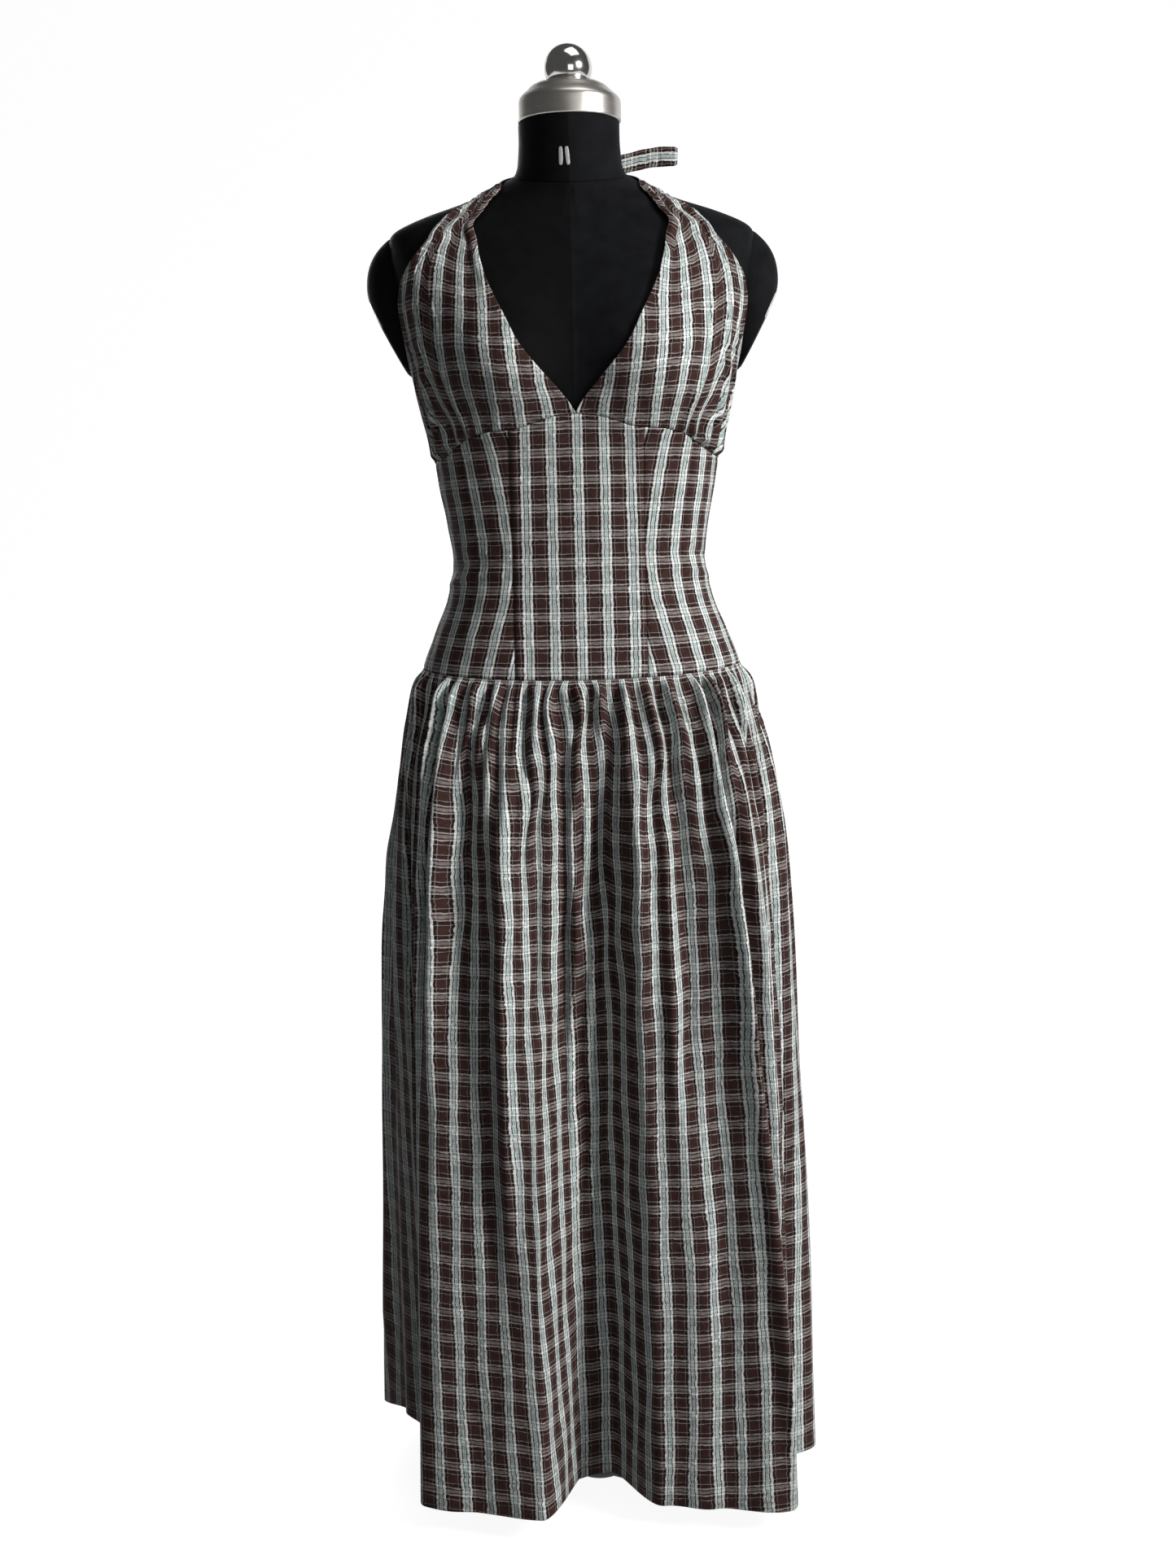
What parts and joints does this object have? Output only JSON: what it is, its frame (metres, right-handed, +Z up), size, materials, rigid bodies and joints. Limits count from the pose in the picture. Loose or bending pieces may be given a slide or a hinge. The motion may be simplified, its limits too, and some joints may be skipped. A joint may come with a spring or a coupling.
{
  "type": "halter dress on dress form",
  "caption": "Plaid halter maxi dress with gathered cups, fitted midriff and full gathered skirt, on a black dress form with a steel neck cap.",
  "frame": {"origin": "middle of the stand's underside, on the floor", "axes": "+Z up along the stand, -Y to the front of the dress, +X to the right as seen from the front"},
  "size_m": [0.5031, 0.3681, 1.5795],
  "materials": {
    "plaid_cotton": "puckered matte",
    "form_cover": "matte",
    "satin_steel": "satin",
    "polished_steel": "polished",
    "stand_paint": "satin"
  },
  "bodies": {
    "root": {"cup_right": "plaid_cotton", "cup_left": "plaid_cotton", "halter_strap_right": "plaid_cotton", "halter_strap_left": "plaid_cotton", "halter_knot": "plaid_cotton", "tie_end_right": "plaid_cotton", "tie_end_back": "plaid_cotton", "midriff_centre": "plaid_cotton", "midriff_side_right": "plaid_cotton", "midriff_side_left": "plaid_cotton", "midriff_back": "plaid_cotton", "skirt_front": "plaid_cotton", "skirt_back": "plaid_cotton", "form_torso": "form_cover", "form_shoulder_right": "form_cover", "form_shoulder_left": "form_cover", "form_neck": "form_cover", "form_neck_cap": "satin_steel", "form_finial": "polished_steel", "form_pole": "stand_paint", "form_base": "stand_paint"}
  },
  "joints": []
}
